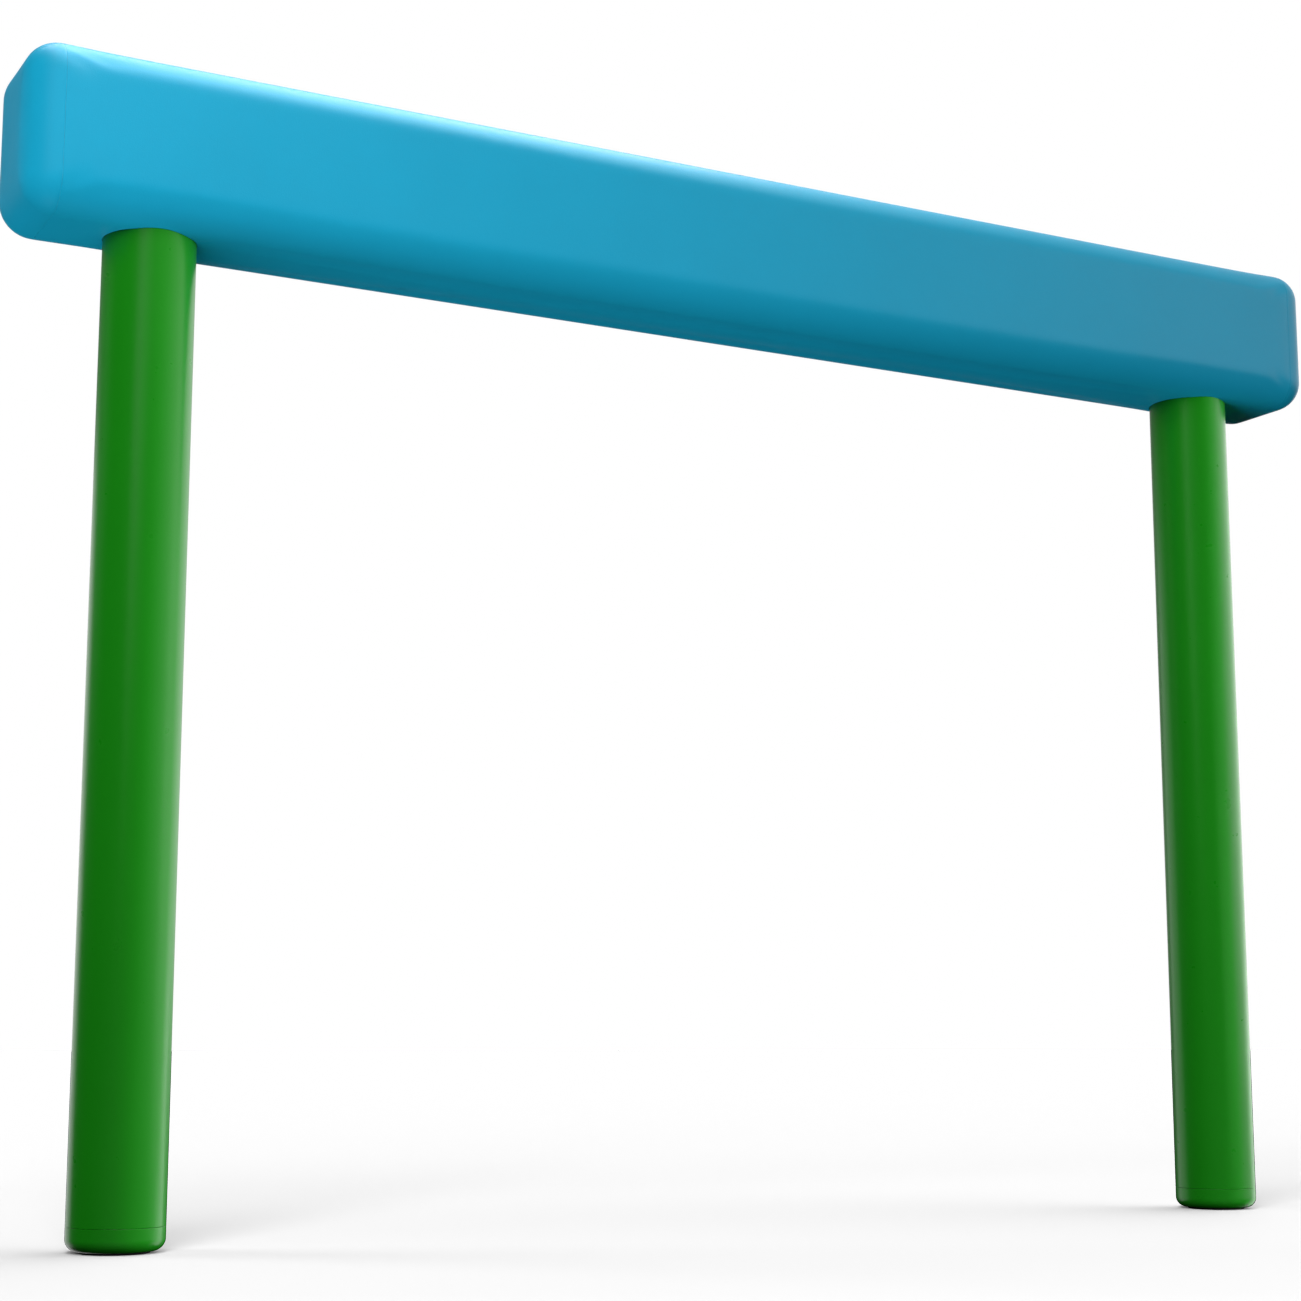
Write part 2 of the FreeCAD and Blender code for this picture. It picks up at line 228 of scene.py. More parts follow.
def bar_sheet(radius, openings=()):
    """The whole rounded bar as one sheet of quads, and the rims of a round opening for each post. Its edges
    have this radius, so a smaller one draws every side in."""
    reach_x, reach_y, reach_z = [h - EDGE_RADIUS for h in HALF]
    breaks = [-reach_x] + [x for opening in openings for x in opening] + [reach_x]
    flat_x = [x for a, b in zip(breaks, breaks[1:]) for x in spread(a, b, GRID_STEP)]
    xs = stations(0, flat_x, radius)
    ys = stations(1, spread(-reach_y, reach_y, GRID_STEP), radius)
    zs = stations(2, spread(-reach_z, reach_z, GRID_STEP), radius)
    last = (len(xs) - 1, len(ys) - 1, len(zs) - 1)
    points = []
    index = {}
    faces = []

    def corner(i, j, k):
        if (i, j, k) not in index:
            index[i, j, k] = len(points)
            points.append(on_bar(xs[i], ys[j], zs[k], radius))
        return index[i, j, k]

    def panel(fixed, at, skip=lambda i: False):
        """One side of the box as a grid, apart from the columns to skip."""
        a, b = [axis for axis in range(3) if axis != fixed]
        for i in range(last[a]):
            if skip(i):
                continue
            for j in range(last[b]):
                ring = []
                for da, db in ((0, 0), (1, 0), (1, 1), (0, 1)):
                    key = [0, 0, 0]
                    key[fixed], key[a], key[b] = at, i + da, j + db
                    ring.append(corner(*key))
                faces.append(ring)

    def at_opening(i):
        middle = (xs[i] + xs[i + 1]) / 2
        return any(low < middle < high for low, high in openings)

    for axis in (0, 1):
        panel(axis, 0)
        panel(axis, last[axis])
    panel(2, last[2])
    panel(2, 0, at_opening)

    rims = []
    for low, high in openings:
        columns = [i for i, x in enumerate(xs) if low - ROUNDING < x < high + ROUNDING]
        rows = range(last[1] + 1)
        loop = [(i, 0) for i in columns[:-1]] + [(columns[-1], j) for j in rows[:-1]]
        loop += [(i, last[1]) for i in reversed(columns[1:])] + [(columns[0], j) for j in reversed(rows[1:])]
        outer = [corner(i, j, 0) for i, j in loop]
        axis_x = (low + high) / 2
        inner = outer
        for ring in range(HOLE_RINGS, -1, -1):
            share = ring / (HOLE_RINGS + 1)
            row = []
            for n in outer:
                x, y = points[n].x, points[n].y
                turn = math.atan2(y, x - axis_x)
                hole_x = axis_x + HOLE_RADIUS * math.cos(turn)
                hole_y = HOLE_RADIUS * math.sin(turn)
                px, py = hole_x + (x - hole_x) * share, hole_y + (y - hole_y) * share
                row.append(len(points))
                points.append(Vector((px, py, underside(py))))
            for m in range(len(row)):
                following = (m + 1) % len(row)
                faces.append([inner[m], inner[following], row[following], row[m]])
            inner = row
        rims += inner
    return mesh_from("bar_sheet", points, faces), rims


def inflate(piece, held):
    """Lets the padding push the cover out between its held points, by cloth simulation with capped travel."""
    group = piece.vertex_groups.new(name="held")
    group.add(held, 1.0, "REPLACE")
    cloth = piece.modifiers.new("padding", "CLOTH")
    cloth.settings.use_pressure = True
    cloth.settings.uniform_pressure_force = PADDING_PRESSURE
    cloth.settings.vertex_group_mass = "held"
    cloth.settings.tension_stiffness = STRETCH_STIFFNESS
    cloth.settings.compression_stiffness = STRETCH_STIFFNESS
    cloth.settings.bending_stiffness = BEND_STIFFNESS
    cloth.settings.effector_weights.gravity = 0
    scene = bpy.context.scene
    for number in range(1, SETTLING_FRAMES + 1):
        scene.frame_set(number)
    graph = bpy.context.evaluated_depsgraph_get()
    pushed = [v.co.copy() for v in piece.evaluated_get(graph).data.vertices]
    piece.modifiers.clear()
    scene.frame_set(1)
    for vertex, target in zip(piece.data.vertices, pushed):
        travel = target - vertex.co
        if travel.length > STILL:
            vertex.co += travel.normalized() * CROWN * math.tanh(travel.length / CROWN)


def cut_line(sheet, point, normal):
    """Adds a line of edges where a plane crosses the sheet."""
    everything = sheet.verts[:] + sheet.edges[:] + sheet.faces[:]
    bmesh.ops.bisect_plane(sheet, geom=everything, dist=ROUNDING / 10, plane_co=point, plane_no=normal)


def press_seams(piece):
    """Presses the weld lines into the cover, and lifts the lapped edge that closes it along its back."""
    sheet = bmesh.new()
    sheet.from_mesh(piece.data)
    for sign in SIDES.values():
        for offset in (-WELD_HALF_WIDTH, 0, WELD_HALF_WIDTH):
            cut_line(sheet, (sign * WELD_X + offset, 0, 0), (1, 0, 0))
    for offset in (-LAP_EDGE, 0):
        cut_line(sheet, (0, 0, LAP_Z + offset), (0, 0, 1))
    sheet.normal_update()
    moves = {}
    for vertex in sheet.verts:
        x, y, z = vertex.co
        near = 1 - abs(abs(x) - WELD_X) / WELD_HALF_WIDTH
        move = -WELD_DEPTH * max(0.0, near)
        lapped = y > HALF.y - EDGE_RADIUS and z < LAP_Z - LAP_EDGE / 2
        if lapped and abs(x) < WELD_X - WELD_HALF_WIDTH:
            rise = (z - COVER_LOW.z) / (LAP_Z - COVER_LOW.z)
            move += LAP_STEP * min(1.0, 2 * rise)
        if move:
            moves[vertex] = vertex.normal * move
    for vertex, move in moves.items():
        vertex.co += move
    sheet.to_mesh(piece.data)
    sheet.free()


def part_of(piece, name, low, high):
    """A copy of the stretch of the cover between two stations, as thick vinyl."""
    sheet = bmesh.new()
    sheet.from_mesh(piece.data)
    outside = [f for f in sheet.faces if not low < f.calc_center_median().x < high]
    bmesh.ops.delete(sheet, geom=outside, context="FACES")
    for vertex in sheet.verts:
        vertex.co.x = max(low + SPLIT_GAP, min(high - SPLIT_GAP, vertex.co.x))
    mesh = bpy.data.meshes.new(name)
    sheet.to_mesh(mesh)
    sheet.free()
    part = add_object(name, mesh)
    thick = part.modifiers.new("vinyl", "SOLIDIFY")
    thick.thickness = VINYL
    thick.offset = -1
    thick.use_even_offset = True
    bake(part)
    sharpen(part, 40)
    return part


def make_cover(vinyl):
    """The vinyl cover: a sleeve and two domed ends, pushed out by the padding and welded together."""
    openings = [(sign * POST_X - HOLE_PATCH, sign * POST_X + HOLE_PATCH) for sign in SIDES.values()]
    mesh, rims = bar_sheet(EDGE_RADIUS, openings)
    whole = add_object("cover_whole", mesh)
    welds = [v.index for v in mesh.vertices if abs(abs(v.co.x) - WELD_X) < ROUNDING]
    inflate(whole, rims + welds)
    finer = whole.modifiers.new("finer", "SUBSURF")
    finer.levels = 1
    bake(whole)
    press_seams(whole)
    past_end = 2 * HALF.x
    sleeve = part_of(whole, "cover_skin", -WELD_X, WELD_X)
    finish_piece(sleeve, "beam_and_posts", "blue_vinyl", vinyl, "cover_sleeve")
    ends = {"left": (-past_end, -WELD_X), "right": (WELD_X, past_end)}
    for side, (low, high) in ends.items():
        end = part_of(whole, side + "_end_skin", low, high)
        finish_piece(end, "beam_and_posts", "blue_vinyl", vinyl, side + "_end_cover")
    bpy.data.objects.remove(whole)


def bar_block(name, radius, low, high):
    """The stretch of the rounded bar between two stations, as a solid block."""
    mesh = bar_sheet(radius)[0]
    sheet = bmesh.new()
    sheet.from_mesh(mesh)
    for x, outward in ((low, -1), (high, 1)):
        everything = sheet.verts[:] + sheet.edges[:] + sheet.faces[:]
        bmesh.ops.bisect_plane(
            sheet, geom=everything, plane_co=(x, 0, 0), plane_no=(outward, 0, 0), clear_outer=True)
    bmesh.ops.holes_fill(sheet, edges=[e for e in sheet.edges if e.is_boundary])
    bmesh.ops.recalc_face_normals(sheet, faces=sheet.faces)
    sheet.to_mesh(mesh)
    sheet.free()
    return add_object(name, mesh)


def cutter_from(sheet):
    """An object that holds a cutting shape."""
    mesh = bpy.data.meshes.new("cutter")
    sheet.to_mesh(mesh)
    sheet.free()
    return add_object("cutter", mesh)


def box_cutter(x, half_x, half_y, bottom, top):
    """A plain box on an upright axis at x, for cutting."""
    middle = Matrix.Translation((x, 0, (bottom + top) / 2))
    size = Matrix.Diagonal((2 * half_x, 2 * half_y, top - bottom, 1))
    sheet = bmesh.new()
    bmesh.ops.create_cube(sheet, size=1.0, matrix=middle @ size)
    return cutter_from(sheet)


def round_cutter(x, radius, bottom, top):
    """A plain round bar on an upright axis at x, for cutting."""
    middle = Matrix.Translation((x, 0, (bottom + top) / 2))
    sheet = bmesh.new()
    bmesh.ops.create_cone(
        sheet, cap_ends=True, segments=ROUND_SEGMENTS, radius1=radius, radius2=radius,
        depth=top - bottom, matrix=middle)
    return cutter_from(sheet)


def cut_away(piece, cutter):
    """Cuts one object out of a piece, and removes the cutter."""
    cut = piece.modifiers.new("cut", "BOOLEAN")
    cut.operation = "DIFFERENCE"
    cut.solver = "EXACT"
    cut.object = cutter
    bake(piece)
    bpy.data.objects.remove(cutter)


def make_foam_sleeve(foam):
    """The foam round the core: a long hollow block, with a pocket for each post's plate and its bush."""
    sleeve = bar_block("padding_sleeve", FOAM_RADIUS, FOAM_LOW.x, FOAM_HIGH.x)
    past_end = EDGE_RADIUS
    hollow = bar_block("cutter", CORE_RADIUS + GLUE_GAP, CORE_LOW.x - past_end, CORE_HIGH.x + past_end)
    cut_away(sleeve, hollow)
    half_x = PLATE_HIGH.x - POST_X + GLUE_GAP
    half_y = PLATE_HIGH.y + GLUE_GAP
    hole_radius = BUSH_HIGH.x - POST_X + GLUE_GAP
    pocket_bottom = PLATE_LOW.z - GLUE_GAP
    for sign in SIDES.values():
        x = sign * POST_X
        cut_away(sleeve, box_cutter(x, half_x, half_y, pocket_bottom, PLATE_HIGH.z + GLUE_GAP))
        cut_away(sleeve, round_cutter(x, hole_radius, COVER_LOW.z, PLATE_LOW.z))
    sharpen(sleeve, 40)
    finish_piece(sleeve, "beam_and_posts", "padding_foam", foam, "foam_sleeve")


def make_end_foam(side, sign, foam):
    """The rounded foam pad at one end."""
    low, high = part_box(side + "_end_foam")
    flat = low.x if sign > 0 else high.x
    past_end = sign * 2 * HALF.x
    pad = bar_block(side + "_end_pad", FOAM_RADIUS, min(flat, past_end), max(flat, past_end))
    sharpen(pad, 40)
    finish_piece(pad, "beam_and_posts", "padding_foam", foam, side + "_end_foam")


def make_stitching(thread):
    """The row of stitches that closes the lapped edge along the back of the cover."""
    surface = HALF.y + LAP_STEP
    z = LAP_Z - STITCH_INSET
    half = STITCH_LENGTH / 2
    dip = STITCH_RADIUS * 1.6
    proud = 0.4 * STITCH_RADIUS
    straight = 0.7 * half
    shape = ((-half, -dip), (-straight, proud), (straight, proud), (half, -dip))
    curve = bpy.data.curves.new("cover_stitching", "CURVE")
    curve.dimensions = "3D"
    curve.bevel_depth = STITCH_RADIUS
    curve.bevel_resolution = 1
    curve.use_fill_caps = True
    first = -WELD_X + 2 * STITCH_PITCH
    for x in spread(first, -first, STITCH_PITCH):
        spline = curve.splines.new("POLY")
        spline.points.add(len(shape) - 1)
        for point, (along, out) in zip(spline.points, shape):
            point.co = (x + along, surface + out, z, 1)
    stitches = bpy.data.objects.new("cover_stitching", curve)
    bpy.context.scene.collection.objects.link(stitches)
    graph = bpy.context.evaluated_depsgraph_get()
    mesh = bpy.data.meshes.new_from_object(stitches.evaluated_get(graph))
    bpy.data.objects.remove(stitches)
    piece = add_object("cover_stitching", mesh)
    finish_piece(piece, "beam_and_posts", "blue_vinyl", thread)


# ---- The turned parts ----

def turned(name, x, profile, segments):
    """A closed turned mesh about the upright axis at x. A profile point is (radius, z), and a radius may
    depend on the angle."""
    points = []
    faces = []
    count = len(profile)
    for i in range(segments):
        turn = 2 * math.pi * i / segments
        for radius, z in profile:
            r = radius(turn) if callable(radius) else radius
            points.append(Vector((x + r * math.cos(turn), r * math.sin(turn), z)))
    for i in range(segments):
        start, following = i * count, (i + 1) % segments * count
        for j in range(count):
            k = (j + 1) % count
            faces.append((start + j, following + j, following + k, start + k))
    return add_object(name, mesh_from(name, points, faces))


def arc(centre_r, centre_z, radius, start, end, steps):
    """Profile points on an arc, from one angle to another, in degrees."""
    angles = [math.radians(start + (end - start) * i / steps) for i in range(steps + 1)]
    return [(centre_r + radius * math.cos(a), centre_z + radius * math.sin(a)) for a in angles]


def make_post(side, x, paint):
    """The painted steel tube. A ring next to each rim keeps the rim's shading off the long wall."""
    edge = 0.0003
    inner = POST_RADIUS - POST_WALL
    guard_z = POST_LOW.z + edge + RIM_GUARD
    profile = arc(POST_RADIUS - edge, POST_LOW.z + edge, edge, -90, 0, 4)
    profile += [(POST_RADIUS, guard_z), (POST_RADIUS, POST_HIGH.z), (inner, POST_HIGH.z), (inner, guard_z)]
    profile += arc(inner + edge, POST_LOW.z + edge, edge, 180, 270, 4)
    post = turned(side + "_post_tube", x, profile, ROUND_SEGMENTS)
    sharpen(post, 50)
    finish_piece(post, "beam_and_posts", "green_paint", paint, side + "_post")


def make_foot(side, x, nylon):
    """The moulded foot, with its rounded rim and the seats of its stud and its sole."""
    rim, top_rim = 0.0105, 0.0003
    recess_r, recess_z = 0.0301, 0.0041
    collar_r, collar_low, collar_high = 0.0210, 0.00995, 0.01805
    bore_r, neck_r = 0.0101, 0.0110
    recess_rim = 0.0004
    low, high = FOOT_LOW.z, FOOT_HIGH.z
    profile = arc(POST_RADIUS - rim, low + rim, rim, -90, 0, 16)
    profile += [(POST_RADIUS, low + rim + RIM_GUARD), (POST_RADIUS, high - top_rim - RIM_GUARD)]
    profile += arc(POST_RADIUS - top_rim, high - top_rim, top_rim, 0, 90, 5)
    profile += [(bore_r, high), (bore_r, collar_high), (collar_r, collar_high), (collar_r, collar_low)]
    profile += [(neck_r, collar_low), (neck_r, recess_z), (recess_r, recess_z)]
    profile += arc(recess_r + recess_rim, low + recess_rim, recess_rim, 180, 270, 3)
    foot = turned(side + "_foot_moulding", x, profile, ROUND_SEGMENTS)
    sharpen(foot, 50)
    finish_piece(foot, side + "_foot", "green_nylon", nylon, side + "_foot")


def hexagon(width):
    """The radius of a hexagon, width across its flats, at any angle."""
    def radius(turn):
        return width / 2 / math.cos((turn + math.pi / 6) % (math.pi / 3) - math.pi / 6)
    return radius


def thread(crest, depth, pitch, z):
    """The radius of a right-hand thread at height z, at any angle."""
    crest_share, flank_share = 0.125, 0.625

    def radius(turn):
        phase = (z / pitch - turn / (2 * math.pi)) % 1
        away = 2 * abs(phase - 0.5)
        return crest - depth * max(0.0, min(1.0, (away - crest_share) / flank_share))
    return radius


def make_stud(side, x, steel):
    """The turned stud: lip, neck, hexagonal collar, threaded shank, and the tapped hole in its lower end."""
    lip_r, lip_high = 0.0145, 0.0019
    neck_r, collar_low, collar_high = 0.0109, 0.010, 0.018
    shank_r, chamfer = 0.010, 0.0018
    tap_r, tap_pitch, tap_depth = 0.0051, 0.00175, 0.020
    tap_thread, tap_mouth, tap_point = 0.0009, 0.0006, 0.002
    tap_rings_per_pitch = 8
    axis_r = 0.001
    low, high = STUD_LOW.z, STUD_HIGH.z
    collar = hexagon(0.036)
    root = shank_r - THREAD_DEPTH
    profile = [(lip_r, low), (lip_r, lip_high), (neck_r, lip_high), (neck_r, collar_low)]
    profile += [(collar, collar_low), (collar, collar_high), (root, collar_high)]
    for z in spread(collar_high + PITCH / 4, high - chamfer, PITCH / RINGS_PER_PITCH):
        profile.append((thread(shank_r, THREAD_DEPTH, PITCH, z), z))
    profile += [(root, high - chamfer), (root - chamfer / 2, high), (axis_r, high)]
    profile += [(axis_r, low + tap_depth + tap_point), (tap_r, low + tap_depth)]
    for z in reversed(spread(low + tap_mouth, low + tap_depth, tap_pitch / tap_rings_per_pitch)):
        profile.append((thread(tap_r + tap_thread, tap_thread, tap_pitch, z), z))
    profile += [(tap_r + tap_thread, low)]
    stud = turned(side + "_stud_thread", x, profile, STUD_SEGMENTS)
    sharpen(stud, 35)
    finish_piece(stud, side + "_foot", "plated_steel", steel, side + "_foot_stud")


def make_sole(side, x, rubber):
    """The rubber sole, with ring grooves under it for grip."""
    hole_r, seat_r, seat_z = 0.0111, 0.0150, 0.0020
    edge = 0.0008
    groove_depth, groove_width = 0.0008, 0.0012
    inner_land, groove_pitch = 0.003, 0.0035
    outer = SOLE_HIGH.x - POST_X
    profile = [(hole_r, seat_z), (seat_r, seat_z), (seat_r, FLOOR_Z)]
    for r in spread(seat_r + inner_land, outer - edge, groove_pitch):
        profile += [(r - groove_width / 2, FLOOR_Z), (r - groove_width / 3, FLOOR_Z + groove_depth)]
        profile += [(r + groove_width / 3, FLOOR_Z + groove_depth), (r + groove_width / 2, FLOOR_Z)]
    profile += arc(outer - edge, FLOOR_Z + edge, edge, -90, 0, 4)
    profile += arc(outer - edge / 2, SOLE_HIGH.z - edge / 2, edge / 2, 0, 90, 3)
    profile += [(hole_r, SOLE_HIGH.z)]
    sole = turned(side + "_sole_pad", x, profile, ROUND_SEGMENTS)
    sharpen(sole, 40)
    finish_piece(sole, side + "_sole", "black_rubber", rubber, side + "_sole")


# ---- Materials ----

VINYL_SHEEN = 0.10
PAINT_SHEEN = 0.25
BLUE = (0.008, 0.343, 0.55)
GREEN = (0.0105, 0.265, 0.0077)


def new_material(name, colour, roughness, metallic=0.0):
    """A node material with its nodes, its links and its main shader."""
    material = bpy.data.materials.new(name)
    material.use_nodes = True
    tree = material.node_tree
    shader = tree.nodes["Principled BSDF"]
    shader.inputs["Base Color"].default_value = (*colour, 1)
    shader.inputs["Roughness"].default_value = roughness
    shader.inputs["Metallic"].default_value = metallic
    return material, tree, shader


def object_place(tree, stretch=(1, 1, 1)):
    """Object coordinates, in metres, stretched along each axis."""
    where = tree.nodes.new("ShaderNodeTexCoord")
    mapping = tree.nodes.new("ShaderNodeMapping")
    mapping.inputs["Scale"].default_value = stretch
    tree.links.new(where.outputs["Object"], mapping.inputs["Vector"])
    return mapping.outputs["Vector"]


def noise(tree, vector, per_metre, detail=3.0):
    """A soft noise pattern with this many waves in a metre."""
    node = tree.nodes.new("ShaderNodeTexNoise")
    node.inputs["Scale"].default_value = per_metre
    node.inputs["Detail"].default_value = detail
    tree.links.new(vector, node.inputs["Vector"])
    return node.outputs["Fac"]


def cells(tree, vector, per_metre):
    """A pattern of rounded cells, as in grained vinyl."""
    node = tree.nodes.new("ShaderNodeTexVoronoi")
    node.feature = "SMOOTH_F1"
    node.inputs["Scale"].default_value = per_metre
    node.inputs["Smoothness"].default_value = 0.6
    tree.links.new(vector, node.inputs["Vector"])
    return node.outputs["Distance"]


def ramp(tree, value, low, high):
    """Turns a pattern between 0 and 1 into a value between low and high."""
    node = tree.nodes.new("ShaderNodeMapRange")
    node.inputs["To Min"].default_value = low
    node.inputs["To Max"].default_value = high
    tree.links.new(value, node.inputs["Value"])
    return node.outputs["Result"]


def tint(tree, shader, value, colour, spread_of_tone):
    """Varies the base colour's brightness with a pattern."""
    node = tree.nodes.new("ShaderNodeMix")
    node.data_type = "RGBA"
    node.inputs["A"].default_value = (*[c * (1 - spread_of_tone) for c in colour], 1)
    node.inputs["B"].default_value = (*[min(1.0, c * (1 + spread_of_tone)) for c in colour], 1)
    tree.links.new(value, node.inputs["Factor"])
    tree.links.new(node.outputs["Result"], shader.inputs["Base Color"])


def bump(tree, value, depth, under=None):
    """Raises the surface by a pattern, depth metres high, on top of another bump if there is one."""
    node = tree.nodes.new("ShaderNodeBump")
    node.inputs["Strength"].default_value = 1.0
    node.inputs["Distance"].default_value = depth
    tree.links.new(value, node.inputs["Height"])
    if under is not None:
        tree.links.new(under, node.inputs["Normal"])
    return node.outputs["Normal"]


def vinyl_material():
    """Satin blue vinyl with a fine grain."""
    material, tree, shader = new_material("blue_vinyl", BLUE, 0.40)
    shader.inputs["Specular IOR Level"].default_value = VINYL_SHEEN
    where = object_place(tree)
    tint(tree, shader, noise(tree, where, 9, 4), BLUE, 0.05)
    tree.links.new(ramp(tree, noise(tree, where, 40), 0.37, 0.44), shader.inputs["Roughness"])
    grain = bump(tree, cells(tree, where, 900), 0.00006)
    weave = bump(tree, noise(tree, where, 2500, 2), 0.00003, grain)
    tree.links.new(weave, shader.inputs["Normal"])
    return material


def paint_material():
    """Glossy green powder coat with a faint orange peel."""
    material, tree, shader = new_material("green_paint", GREEN, 0.28)
    shader.inputs["Specular IOR Level"].default_value = PAINT_SHEEN
    where = object_place(tree)
    tint(tree, shader, noise(tree, where, 12, 3), GREEN, 0.04)
    tree.links.new(ramp(tree, noise(tree, where, 60), 0.26, 0.31), shader.inputs["Roughness"])
    tree.links.new(bump(tree, noise(tree, where, 350, 1), 0.00003), shader.inputs["Normal"])
    return material


def nylon_material():
    """Glossy green moulded nylon."""
    material, tree, shader = new_material("green_nylon", GREEN, 0.30)
    shader.inputs["Specular IOR Level"].default_value = PAINT_SHEEN
    where = object_place(tree)
    tint(tree, shader, noise(tree, where, 12, 3), GREEN, 0.04)
    tree.links.new(ramp(tree, noise(tree, where, 90), 0.27, 0.33), shader.inputs["Roughness"])
    tree.links.new(bump(tree, noise(tree, where, 500, 1), 0.00002), shader.inputs["Normal"])
    return material


def rubber_material():
    """Matte black rubber."""
    colour = (0.018, 0.018, 0.019)
    material, tree, shader = new_material("black_rubber", colour, 0.8)
    where = object_place(tree)
    tint(tree, shader, noise(tree, where, 60), colour, 0.2)
    tree.links.new(ramp(tree, noise(tree, where, 150), 0.7, 0.9), shader.inputs["Roughness"])
    tree.links.new(bump(tree, noise(tree, where, 1500), 0.0001), shader.inputs["Normal"])
    return material


def metal_material(name, colour, roughness, stretch):
    """Bare metal with fine lines drawn along its longest stretch."""
    material, tree, shader = new_material(name, colour, roughness, 1.0)
    lines = noise(tree, object_place(tree, stretch), 400)
    tint(tree, shader, lines, colour, 0.06)
    tree.links.new(ramp(tree, lines, 0.8 * roughness, 1.2 * roughness), shader.inputs["Roughness"])
    tree.links.new(bump(tree, lines, 0.00002), shader.inputs["Normal"])
    return material


def foam_material():
    """Pale closed-cell foam."""
    colour = (0.62, 0.62, 0.58)
    material, tree, shader = new_material("padding_foam", colour, 0.95)
    where = object_place(tree)
    tint(tree, shader, noise(tree, where, 30), colour, 0.08)
    tree.links.new(bump(tree, cells(tree, where, 600), 0.0003), shader.inputs["Normal"])
    return material


def plastic_material():
    """Dark grey moulded plastic with a fine spark texture."""
    colour = (0.09, 0.09, 0.10)
    material, tree, shader = new_material("grey_plastic", colour, 0.6)
    where = object_place(tree)
    tint(tree, shader, noise(tree, where, 20), colour, 0.08)
    tree.links.new(bump(tree, noise(tree, where, 1200), 0.00005), shader.inputs["Normal"])
    return material


def thread_material():
    """Twisted blue sewing thread."""
    colour = (0.012, 0.25, 0.45)
    material, tree, shader = new_material("sewing_thread", colour, 0.7)
    twist = noise(tree, object_place(tree, (1, 1, 3)), 1800)
    tint(tree, shader, twist, colour, 0.25)
    tree.links.new(bump(tree, twist, 0.0001), shader.inputs["Normal"])
    return material


def dress_frame(by_slot):
    """Gives each CAD node that is still shown the material of its slot."""
    for row in frame["record"]["subparts"]:
        node = frame["nodes"][row["node"]]
        if not node.hide_render:
            node.data.materials.clear()
            node.data.materials.append(by_slot[row["material_slot"]])


# ---- Floor, light and camera ----

def make_floor():
    """A wide pale floor. It stays under both soles, so a foot that is screwed out still stands on it."""
    corners = [(x * FLOOR_REACH, y * FLOOR_REACH, 0) for x, y in ((-1, -1), (1, -1), (1, 1), (-1, 1))]
    mesh = bpy.data.meshes.new("floor")
    mesh.from_pydata(corners, [], [(0, 1, 2, 3)])
    floor = bpy.data.objects.new("floor", mesh)
    bpy.context.scene.collection.objects.link(floor)
    pale = (0.9, 0.9, 0.9)
    material, tree, shader = new_material("pale_floor", pale, 0.9)
    tint(tree, shader, noise(tree, object_place(tree), 2), pale, 0.01)
    mesh.materials.append(material)
    floor.is_shadow_catcher = True
    floor.visible_diffuse = False
    floor.visible_glossy = False
    floor.visible_shadow = False
    for side in SIDES:
        under = floor.constraints.new("FLOOR")
        under.target = frame["bodies"][side + "_sole"]
        under.floor_location = "FLOOR_NEGATIVE_Z"


def area_light(name, location, target, size, power, sheen=False, pieces=()):
    """A soft square light, aimed at a target. It gives only sheen, or only light with no sheen, and it may
    light only some of the pieces."""
    lamp = bpy.data.lights.new(name, "AREA")
    lamp.shape = "SQUARE"
    lamp.size = size
    lamp.energy = power
    light = bpy.data.objects.new(name, lamp)
    light.location = location
    light.rotation_mode = "QUATERNION"
    light.rotation_quaternion = (Vector(target) - Vector(location)).to_track_quat("-Z", "Y")
    light.visible_camera = False
    light.visible_diffuse = not sheen
    light.visible_glossy = sheen
    bpy.context.scene.collection.objects.link(light)
    if pieces:
        lit = bpy.data.collections.new(name + "_lights")
        for piece in pieces:
            lit.objects.link(bpy.data.objects[piece])
        light.light_linking.receiver_collection = lit


def calculate(tree, operation, first, second):
    """The result of a sum on two values, each a number or another node's output."""
    node = tree.nodes.new("ShaderNodeMath")
    node.operation = operation
    for value, socket in zip((first, second), node.inputs):
        if isinstance(value, (int, float)):
            socket.default_value = value
        else:
            tree.links.new(value, socket)
    return node.outputs["Value"]


def side_light(tree, direction, height, axis, below, above):
    """The studio's light from one side, fading to nothing at right angles to it."""
    facing = tree.nodes.new("ShaderNodeVectorMath")
    facing.operation = "DOT_PRODUCT"
    facing.inputs[1].default_value = axis
    tree.links.new(direction, facing.inputs[0])
    lobe = calculate(tree, "POWER", calculate(tree, "MAXIMUM", facing.outputs["Value"], 0), 2)
    return calculate(tree, "MULTIPLY", lobe, ramp(tree, height, below, above))


